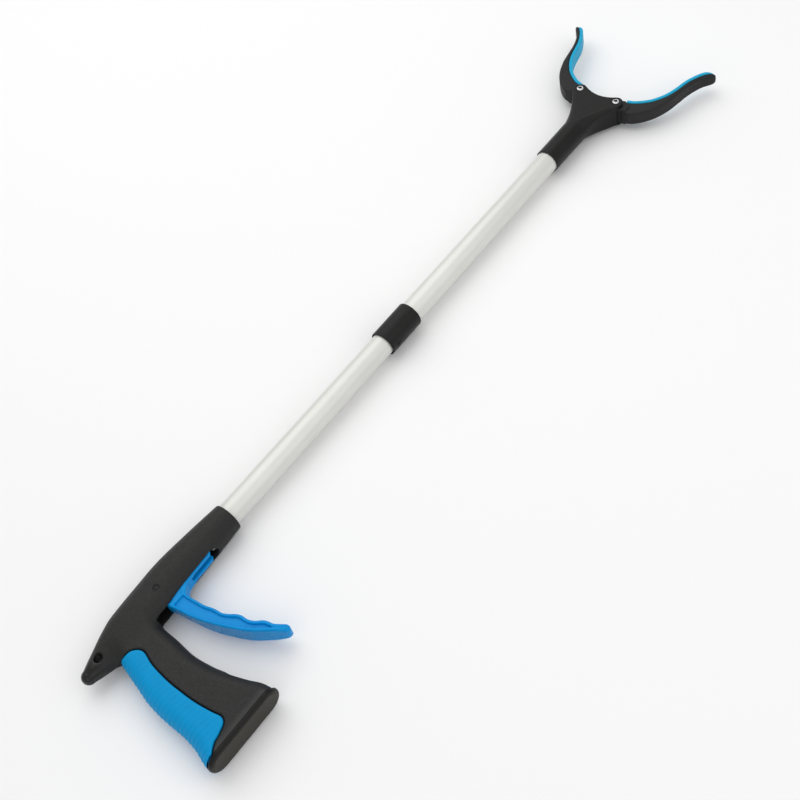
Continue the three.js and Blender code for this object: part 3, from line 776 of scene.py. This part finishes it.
def screws():
    """Domed cross-head screws at the bottom of wells in the left side."""
    arm, slit, depth = 1.6, 0.36, 1.0  # half length, half width and depth of the cross
    for node in SCREWS:
        cx, cy, face, radius = screw_place(node)
        reach = radius + 0.3
        grid = Grid((-reach, -reach, -3), (reach, reach, 0.5), 0.13)
        x, y, z = grid.x, grid.y, grid.z
        away = np.hypot(x, y)
        dome = z + 0.06 * away**2
        head = soft_max(soft_max(away - radius, dome, 0.3), -1.5 - z, 0.2)
        shank = np.maximum(away - radius * 0.48, -2.8 - z)
        cross = np.minimum(np.maximum(np.abs(x) - arm, np.abs(y) - slit),
                           np.maximum(np.abs(y) - arm, np.abs(x) - slit))
        body = np.minimum(head, np.maximum(shank, dome))
        body = carve(body, np.maximum(cross, -depth - z), 0.15)
        points, faces = mirrored(grid.mesh(body), 2)
        placed = points + (cx, cy, -face)
        make_piece(node + "_head", (placed, faces), STEEL, "handle", "steel", node)


# ---- trigger ----

# Outline of the arms, from the eye round the pin, back along the top and forward underneath.
ARMS = [
    (-39, 11.5), (-39.9, 13.5), (-42, 14.5), (-44.2, 13.3), (-46.6, 11), (-60, 5.2), (-76, -4),
    (-88, -11), (-90.6, -15), (-89.5, -22), (-74, -22), (-68, -17.8), (-58, -16), (-47, -15.6),
    (-37, -15), (-34.8, -12.6),
]
# The lever: its front with the finger grooves, its round tip, and its rear.
LEVER_FRONT = [
    (-60, -15.6), (-68.6, -16.8), (-72.8, -19.6), (-74.6, -24), (-74.5, -30), (-73.8, -37),
    (-73.2, -44), (-71.6, -51), (-70.9, -56), (-70.6, -61.5), (-68.4, -67), (-64.8, -72.6),
    (-63.2, -77.5), (-63, -83.5), (-60.6, -89.5), (-56.8, -94.2), (-55, -98.5), (-54, -103.4),
    (-51.2, -108), (-48.4, -111.6),
]
LEVER_TIP = [(-47.6, -113.8), (-48.4, -115.8), (-50.6, -116.6), (-53, -115.6)]
LEVER_REAR = [
    (-60.6, -105.6), (-70.6, -91), (-78.4, -73.4), (-84.2, -56), (-87.4, -40), (-89.4, -26),
    (-90.6, -15), (-80, -11),
]
# Half width of the lever by height: narrow at the arms, broad for the fingers, rounded at the tip.
LEVER_WIDTH = {
    "at": [-14, -38, -52, -68, -92, -106, -112, -116.6],
    "half": [6.5, 6.5, 8.2, 9.8, 10, 9.6, 8.4, 6],
}
PANEL_DEPTH = 2.6  # of the sunken panels on the lever's sides
CHANNEL_HALF = 2.9  # half width of the room between the two arms
ANCHOR_SLOT = {"top": -3.5, "foot": -4.7, "radius": 2.55}  # where the cable anchor sits


def trigger():
    """A lever with finger grooves, and two arms that run up to the pin."""
    grid = Grid((-93, -119, -11), (-32, 17, 11), 0.48)
    x, y, z = grid.x, grid.y, grid.z
    lever_line = np.vstack([rounded_line(LEVER_FRONT, 5), LEVER_TIP, rounded_line(LEVER_REAR, 14)])
    lever = inside_outline(x, y, lever_line)
    arms = inside_outline(x, y, np.array(ARMS, float))
    half = spline(LEVER_WIDTH["at"], LEVER_WIDTH["half"])(y)
    blade = slab(lever, z, half, 1.9)
    # A sunken panel on each side of the lever, inside a rim that widens towards the tip.
    rim = 2.3 + 0.9 * np.clip((x + 80) / 20, 0, 1)
    panel = np.maximum(lever + rim, (half - PANEL_DEPTH) - np.abs(z))
    panel = np.maximum(panel, y + 17)
    blade = carve(blade, panel, 1.3)
    stem = slab(arms, z, spline([7, 10], [6.5, EYE["half"]])(y), 0.9)
    channel = np.maximum(np.abs(z) - CHANNEL_HALF, -62 - x)
    stem = carve(stem, soft_max(channel, y - 20, 0.5), 0.9)
    body = soft_min(blade, stem, 1.6)
    body = carve(body, rod_z(x, y, *TRIGGER_PIN, 1.95), 0.2)
    nearest = np.clip(y, ANCHOR_SLOT["foot"], ANCHOR_SLOT["top"])
    anchor = np.hypot(x - TRIGGER_PIN[0], y - nearest) - ANCHOR_SLOT["radius"]
    body = carve(body, anchor, 0.2)
    make_piece("trigger_lever", grid.mesh(body), BLUE, "trigger", "blue_plastic", "trigger")


def trigger_pin():
    """Steel pin across the slot, with eased ends."""
    reach, radius = 8.8, 1.8
    pin = turn(ring_profile(-reach, reach, 0.01, radius, 0.35), 48)
    pin = stood_along_z(pin, TRIGGER_PIN)
    make_piece("trigger_pin_steel", pin, STEEL, "handle", "steel", "trigger_pin")


# ---- shaft ----


def shaft():
    """The two tubes, in line at rest."""
    for node, body in (("rear_tube", "handle"), ("front_tube", "front_shaft")):
        start, end = node_span(node, 0)
        profile = ring_profile(start, end, TUBE["inner"], TUBE["outer"], 0.25)
        make_piece(node + "_satin", turn(profile, 128), TUBE_METAL, body, "tube", node)


def lock_sleeve():
    """Sliding sleeve over the fold, with a bevelled mouth at each end."""
    start, end = node_span("lock_sleeve", 0)
    inner, outer = 11.6, 12.8
    mouth = {"long": 0.8, "high": 0.45}  # bevel inside each end
    edge = {"long": 0.5, "high": 0.25}  # bevel outside each end
    profile = eased([
        (start, inner + mouth["high"]), (start, outer - edge["high"]),
        (start + edge["long"], outer), (end - edge["long"], outer),
        (end, outer - edge["high"]), (end, inner + mouth["high"]),
        (end - mouth["long"], inner), (start + mouth["long"], inner),
    ], 0.3)
    make_piece("lock_sleeve_black", turn(profile, 128), PLAIN_BLACK, "sleeve", "black_plastic",
               "lock_sleeve")


def sleeve_catch():
    """Small nub under the sleeve; its lower face curves up towards the front."""
    (x0, x1), (y0, y1), (z0, z1) = (node_span("sleeve_catch", axis) for axis in range(3))
    margin, half = 0.6, 1.6
    grid = Grid((x0 - margin, y0 - margin, z0 - margin), (x1 + margin, y1 + margin, z1 + margin),
                0.14)
    x, y, z = grid.x, grid.y, grid.z
    nub = box(x, y, z, (x0, y0, z0), (x1, y1, z1))
    nub = soft_max(nub, (y0 + 0.02 * (x - x0) ** 2) - y, 0.5)
    nub = soft_max(nub, np.abs(z) - half, 0.6)
    make_piece("sleeve_catch_nub", grid.mesh(nub), GLOSS_BLACK, "sleeve", "gloss_black",
               "sleeve_catch")


# ---- head ----

PIVOT = (565.5, 21.0)  # of the upper jaw; the lower one mirrors it
PLATE = {"half": 12.5, "gap": 9.6, "lobe": 7.0}  # fork plates: outside, inside, end radius
HEAD_START, SHOULDER = 474.0, 499.0  # rear end of the head, and where the tube stops in it
YOKE_BORE = {"radius": 8.6, "end": 530.0}  # narrower bore ahead of the tube, for the yoke
NECK_END = 561.2
# Upper half of the room inside the fork that the jaws swing in.
HEAD_ROOM = [(526, 7), (539, 11.6), (550, 17.2), (557.6, 22), (560.4, 26), (560.7, 40), (600, 40)]
# Sections of the neck: x, half height, half width, corner radius.
NECK = np.array([
    (474, 12.2, 12.2, 12.1), (522, 12.3, 12.2, 12), (527, 12.7, 12.2, 10.4), (532, 13.4, 12.1, 8),
    (538, 15, 12.1, 5.6), (544, 17.6, 12, 3.8), (550, 20.6, 11.9, 2.6), (556, 24, 11.9, 1.9),
    (561, 27.2, 11.9, 1.5),
])


def arc(cx, cy, radius, start, end, steps=10):
    """Points along an arc, with its start and end in degrees."""
    turns = np.radians(np.linspace(start, end, steps))
    return np.stack([cx + radius * np.cos(turns), cy + radius * np.sin(turns)], 1)


def plate_outline():
    """One fork plate: two lobes, a hollow front edge, and sides that run in to the neck."""
    px, py = PIVOT
    top = arc(px, py, PLATE["lobe"], -22, 124)
    tip_x, tip_y = top[0]
    heights = np.linspace(-1, 1, 13)[1:-1]
    hollow = [(tip_x - (1 - h * h) * 5.6, h * tip_y) for h in heights]
    low = arc(px, -py, PLATE["lobe"], -124, 22)
    sides = [(552, 18.6), (538, 9.6), (528, 4), (524, 0), (528, -4), (538, -9.6), (552, -18.6)]
    return np.vstack([low, hollow, top, sides])


def head_fork():
    """Round neck over the front tube that widens into a fork of two plates."""
    grid = Grid((HEAD_START - 1, -29.5, -13.6), (574, 29.5, 13.6), 0.46)
    x, y, z = grid.x, grid.y, grid.z
    tall, wide, corner = (spline(NECK[:, 0], NECK[:, i])(x) for i in (1, 2, 3))
    a, b = np.abs(y) - tall + corner, np.abs(z) - wide + corner
    neck = np.hypot(np.maximum(a, 0), np.maximum(b, 0)) + np.minimum(np.maximum(a, b), 0) - corner
    neck = soft_max(neck, x - NECK_END, 0.5)
    plates = slab(inside_outline(x, y, plate_outline()), z, PLATE["half"], 0.55)
    body = soft_min(neck, plates, 0.9)
    room_line = HEAD_ROOM + [(along, -up) for along, up in reversed(HEAD_ROOM)]
    room = np.maximum(inside_outline(x, y, np.array(room_line, float)), np.abs(z) - PLATE["gap"])
    hub = rod_z(x, np.abs(y), *PIVOT, PLATE["lobe"] + 0.4)
    room = np.minimum(room, np.maximum(hub, np.abs(z) - PLATE["gap"]))
    body = carve(body, room, 0.6)
    bore = np.maximum(rod_x(y, z, TUBE["outer"] + 0.25), x - SHOULDER)
    bore = np.minimum(bore, np.maximum(rod_x(y, z, YOKE_BORE["radius"]), x - YOKE_BORE["end"]))
    body = carve(body, bore, 0.3)
    body = soft_max(body, HEAD_START - x, 0.8)
    make_piece("head_fork_black", grid.mesh(body), PLAIN_BLACK, "front_shaft", "black_plastic",
               "head_fork")


def jaw_rivets():
    """Hollow rivets: a rolled rim round a deep dimple on the right, a plain dome on the left."""
    top = PLATE["half"]
    rim = [(top + 0.1, 1.9), (top + 0.1, 3.2), (top + 0.55, 3.35), (top + 1.05, 3.05),
           (top + 1.2, 2.6), (top + 1.05, 2.15), (top + 0.5, 1.85), (top - 2.0, 1.7),
           (top - 2.0, 1.9)]
    shank = [(-top - 1.1, 0.01), (-top - 1.0, 1.4), (-top - 0.6, 2.6), (-top - 0.05, 3.1),
             (-top + 0.1, 2.0), (top, 2.0), (top, 1.8), (top - 2.4, 1.6), (top - 2.6, 0.01)]
    for side, label in ((1, "upper"), (-1, "lower")):
        parts = [turn(rounded_line(line, 3), 64) for line in (shank, rim)]
        count = len(parts[0][0])
        points = np.concatenate([p for p, _ in parts])
        faces = np.concatenate([parts[0][1], parts[1][1] + count])
        rivet = stood_along_z((points, faces), (PIVOT[0], side * PIVOT[1]))
        make_piece(f"rivet_{label}", rivet, STEEL, "front_shaft", "steel", f"jaw_rivet_{label}")


# ---- jaws ----

# Upper jaw when open: the outer back from root to tip, and the face that carries the pad.
JAW_BACK = [
    (560.8, 30.4), (561.6, 38.6), (568.4, 48), (580.4, 57.2), (595.6, 63.4), (609.8, 66.3),
    (624.8, 69.2), (638, 74.4), (645.6, 80.4),
]
JAW_TIP = [(648.2, 82.6), (650.8, 83.8), (652.9, 83.1), (653.5, 81.4)]
TIP_ROUND = {"x": 646, "radius": 7.6}  # the tips are rounded off across their width
JAW_FACE = [
    (652.2, 80), (643, 72.2), (629, 65.4), (613, 61.4), (600, 56.6), (587.6, 48), (578.8, 36.6),
    (575.2, 27.4),
]
JAW_WIDTH = {
    "at": [556, 575, 592, 608, 622, 636, 650], "half": [12.2, 12.3, 12.2, 11.8, 10.9, 9.2, 7.4],
}
PAD_THICKNESS = 2.6
PAD_SEAT = 0.9  # how deep the pad is let into the jaw
JAW_ROOT = {"half": 9.2, "hub": 7.0, "gap": 3.7}  # the part between the fork plates
PEG = {"x": 566.25, "y": 13.85, "radius": 1.5}  # what the yoke pulls
RIVET_BORE = 2.1


def jaw_half(x):
    """Half width of the jaw along its length."""
    return spline(JAW_WIDTH["at"], JAW_WIDTH["half"])(x)


def tip_round(x, z):
    """Round end that both the jaw and its pad are cut to."""
    return np.hypot(np.maximum(x - TIP_ROUND["x"], 0), z) - TIP_ROUND["radius"]


def wing_field(x, y, z):
    """The curved finger of the jaw, soft at its edges."""
    root = [(573.6, 24.6), (570.4, 27.2), (566, 28.4), (561.6, 28.8)]
    face = rounded_line(JAW_FACE, 5)
    back = np.vstack([rounded_line(JAW_BACK, 5), JAW_TIP])
    finger = inside_outline(x, y, np.vstack([back, face, root]))
    # Closed far inside the bite, the outline of the back alone rounds only the outer edges.
    shell = inside_outline(x, y, np.vstack([back, [(653.5, 0), (561.6, 0), (561.6, 28.8)]]))
    body = soft_max(slab(shell, z, jaw_half(x), 4.4), finger, 1.0)
    return soft_max(body, tip_round(x, z), 3.0)


def root_field(x, y, z):
    """The jaw's root: a hub on the rivet and a bridge from it up to the finger."""
    px, py = PIVOT
    hub = slab(rod_z(x, y, px, py, JAW_ROOT["hub"]), z, JAW_ROOT["half"], 0.6)
    line = [(px - 5, py), (px + 6.4, py - 2), (px + 9, py + 6), (px + 4, py + 13),
            (px - 3.6, py + 13)]
    bridge = slab(inside_outline(x, y, np.array(line)), z, JAW_ROOT["half"], 0.8)
    return soft_min(hub, bridge, 0.8)


def crank_field(x, y, z):
    """Two short arms below the hub, and the peg that joins them."""
    px, py = PIVOT
    line = [(px - 3, py - 2), (px + 5, py - 2), (PEG["x"] + 2, PEG["y"]), (PEG["x"] - 2, PEG["y"])]
    arms = slab(inside_outline(x, y, np.array(line)), z, JAW_ROOT["half"], 0.4)
    arms = carve(arms, np.abs(z) - JAW_ROOT["gap"], 0.2)
    peg = rod_z(x, y, PEG["x"], PEG["y"], PEG["radius"])
    return np.minimum(arms, np.maximum(peg, np.abs(z) - JAW_ROOT["half"]))


def jaws():
    """Both jaws; the lower is the upper one mirrored."""
    px, py = PIVOT
    grid = Grid((554, 8, -13), (656, 86, 13), 0.52)
    x, y, z = grid.x, grid.y, grid.z
    body = soft_min(root_field(x, y, z), wing_field(x, y, z), 0.9)
    # Room for the yoke between the arms, outside the sleeve round the rivet.
    gap = JAW_ROOT["gap"]
    room = box(x, y, z, (545, 0, -gap), (579, py + 1, gap))
    room = np.maximum(room, 4.4 - rod_z(x, y, px, py, 0))
    body = carve(body, room, 0.3)
    body = np.minimum(body, crank_field(x, y, z))
    body = carve(body, rod_z(x, y, px, py, RIVET_BORE), 0.3)
    body = carve(body, pad_bed(x, y), 0.3)
    jaw = grid.mesh(body)
    make_piece("jaw_upper_black", jaw, JAW_BLACK, "upper_jaw", "black_plastic", "jaw_upper")
    jaw = mirrored(jaw, 1)
    make_piece("jaw_lower_black", jaw, JAW_BLACK, "lower_jaw", "black_plastic", "jaw_lower")


def pad_outline(grow):
    """Outline of the strip along the face of the jaw, let into it by `grow`."""
    face = rounded_line(JAW_FACE, 5)
    along = np.gradient(face, axis=0)
    along /= np.linalg.norm(along, axis=1)[:, None]
    inward = np.stack([-along[:, 1], along[:, 0]], 1)
    return np.vstack([face - inward * grow, (face + inward * PAD_THICKNESS)[::-1]])


def pad_bed(x, y):
    """Step across the whole jaw that the pad is seated in."""
    return inside_outline(x, y, pad_outline(PAD_SEAT + 0.12))


def jaw_pads():
    """Soft strips on the faces of both jaws."""
    grid = Grid((572, 20, -12.6), (657.5, 84, 12.6), 0.45)
    x, y, z = grid.x, grid.y, grid.z
    strip = inside_outline(x, y, pad_outline(PAD_SEAT))
    strip = soft_max(slab(strip, z, jaw_half(x) + 0.05, 0.9), tip_round(x, z) - 0.1, 1.2)
    pad = grid.mesh(strip)
    make_piece("pad_upper_soft", pad, PAD, "upper_jaw", "pad_rubber", "jaw_pad_upper")
    pad = mirrored(pad, 1)
    make_piece("pad_lower_soft", pad, PAD, "lower_jaw", "pad_rubber", "jaw_pad_lower")


# ---- inner pieces ----


def return_spring():
    """Round-wire spring between its seat and the yoke."""
    start, end = node_span("return_spring", 0)
    wire, turns, coil = 0.55, 6.0, 6.6
    t = np.linspace(0, 1, 260)
    # The coils lie nearly closed at both ends and open up between them.
    spread = np.clip((t - 0.1) / 0.8, 0, 1)
    rise = 0.06 * t + 0.94 * spread * spread * (3 - 2 * spread)
    x = start + wire + (end - start - 2 * wire) * rise
    angle = 2 * math.pi * turns * t
    path = np.stack([x, coil * np.cos(angle), coil * np.sin(angle)], 1)
    spring = make_piece("return_spring_wire", sweep(path, wire, 10), STEEL, "front_shaft",
                        "steel", "return_spring")
    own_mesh(spring)


def cable_bridge():
    """The length of wire across the fold, between the two straight cables."""
    start = node_span("rear_cable", 0)[1]
    end = node_span("front_cable", 0)[0]
    y = sum(node_span("rear_cable", 1)) / 2
    overlap, radius = 1.5, 0.66
    path = [(x, y, 0.0) for x in np.linspace(start - overlap, end + overlap, 24)]
    wire = make_piece("cable_bridge_wire", sweep(path, radius), STEEL, None, "steel")
    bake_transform(wire)


def dress_cad():
    """Materials and a fine bevel for the small inner pieces, which are the CAD pieces."""
    looks = {
        "cable_anchor": (BRASS, "brass"),
        "rear_cable": (STEEL, "steel"), "front_cable": (STEEL, "steel"),
        "tube_end_bush": (PALE, "white_plastic"), "rear_hinge_plug": (PLAIN_BLACK, "black_plastic"),
        "front_hinge_plug": (PLAIN_BLACK, "black_plastic"), "fold_pin": (STEEL, "steel"),
        "spring_seat": (PALE, "white_plastic"), "yoke": (PLAIN_BLACK, "black_plastic"),
        "head_cable_ferrule": (BRASS, "brass"),
    }
    for node, (material, slot) in looks.items():
        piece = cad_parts[node]
        piece.data.materials.clear()
        piece.data.materials.append(material)
        piece.data.polygons.foreach_set("use_smooth", [True] * len(piece.data.polygons))
        piece.data.set_sharp_from_angle(angle=math.radians(35))
        bevel = piece.modifiers.new("eased_edges", "BEVEL")
        bevel.width = 0.00015
        bevel.segments = 2
        bevel.limit_method = "ANGLE"
        bevel.angle_limit = math.radians(40)


# ---- studio ----


def studio():
    """White paper floor, an even white world and three soft lamps."""
    low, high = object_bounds()
    floor_mesh = bpy.data.meshes.new("floor")
    reach, level = 6.0, low.z - 0.0005
    corners = [(-reach, -reach), (reach, -reach), (reach, reach), (-reach, reach)]
    floor_mesh.from_pydata([(x, y, level) for x, y in corners], [], [(0, 1, 2, 3)])
    floor = bpy.data.objects.new("floor", floor_mesh)
    bpy.context.scene.collection.objects.link(floor)
    paper = bpy.data.materials.new("paper")
    paper.use_nodes = True
    shader = paper.node_tree.nodes["Principled BSDF"]
    shader.inputs["Base Color"].default_value = (0.93, 0.93, 0.93, 1)
    shader.inputs["Roughness"].default_value = 0.9
    floor_mesh.materials.append(paper)
    floor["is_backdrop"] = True

    world = bpy.data.worlds.new("studio")
    world.use_nodes = True
    world.node_tree.nodes["Background"].inputs["Color"].default_value = (1, 1, 1, 1)
    world.node_tree.nodes["Background"].inputs["Strength"].default_value = 0.57
    bpy.context.scene.world = world
    bpy.context.scene.view_settings.view_transform = "Standard"

    middle = (low + high) / 2
    lamps = [
        ("key", (0.3, 0.75, 1.4), 2.2, 14), ("fill", (0.2, -1.2, 1.2), 2.0, 7),
        ("edge", (-1.1, -0.5, 0.7), 0.9, 1),
    ]
    for name, offset, size, power in lamps:
        light = bpy.data.lights.new(name, "AREA")
        light.shape = "DISK"
        light.size = size
        light.energy = power
        lamp = bpy.data.objects.new(name, light)
        lamp.location = middle + Vector(offset)
        lamp.rotation_euler = (middle - lamp.location).to_track_quat("-Z", "Y").to_euler()
        bpy.context.scene.collection.objects.link(lamp)


def camera():
    """Looks at the tool from its right side, with the grip nearest and the jaws far off."""
    from_shaft = math.radians(68.3)  # between the line of sight and the shaft
    over = math.radians(30)  # how far the view is turned from square on to the right side
    roll = math.radians(48.93)
    back = Vector((-math.cos(from_shaft), -math.sin(from_shaft) * math.sin(over),
                   math.sin(from_shaft) * math.cos(over)))
    shaft_axis = Vector((1, 0, 0))
    level = (shaft_axis - shaft_axis.dot(back) * back).normalized()
    upright = back.cross(level)
    right = math.cos(roll) * level - math.sin(roll) * upright
    above = math.sin(roll) * level + math.cos(roll) * upright
    data = bpy.data.cameras.new("camera")
    data.sensor_width, data.lens = 36, 56.97
    data.clip_start, data.clip_end = 0.01, 20
    eye = bpy.data.objects.new("camera", data)
    turned = Matrix((right, above, back)).transposed()
    from_mouth = Vector((0.145, 0.098, 1.069))  # to the right, above and back, in metres
    eye.matrix_world = Matrix.Translation(MOUTH + turned @ from_mouth) @ turned.to_4x4()
    bpy.context.scene.collection.objects.link(eye)
    bpy.context.scene.camera = eye


handle_shells()
grip_insert()
base_cap()
screws()
trigger()
trigger_pin()
shaft()
lock_sleeve()
sleeve_catch()
head_fork()
jaw_rivets()
jaws()
jaw_pads()
return_spring()
cable_bridge()
dress_cad()
studio()
camera()
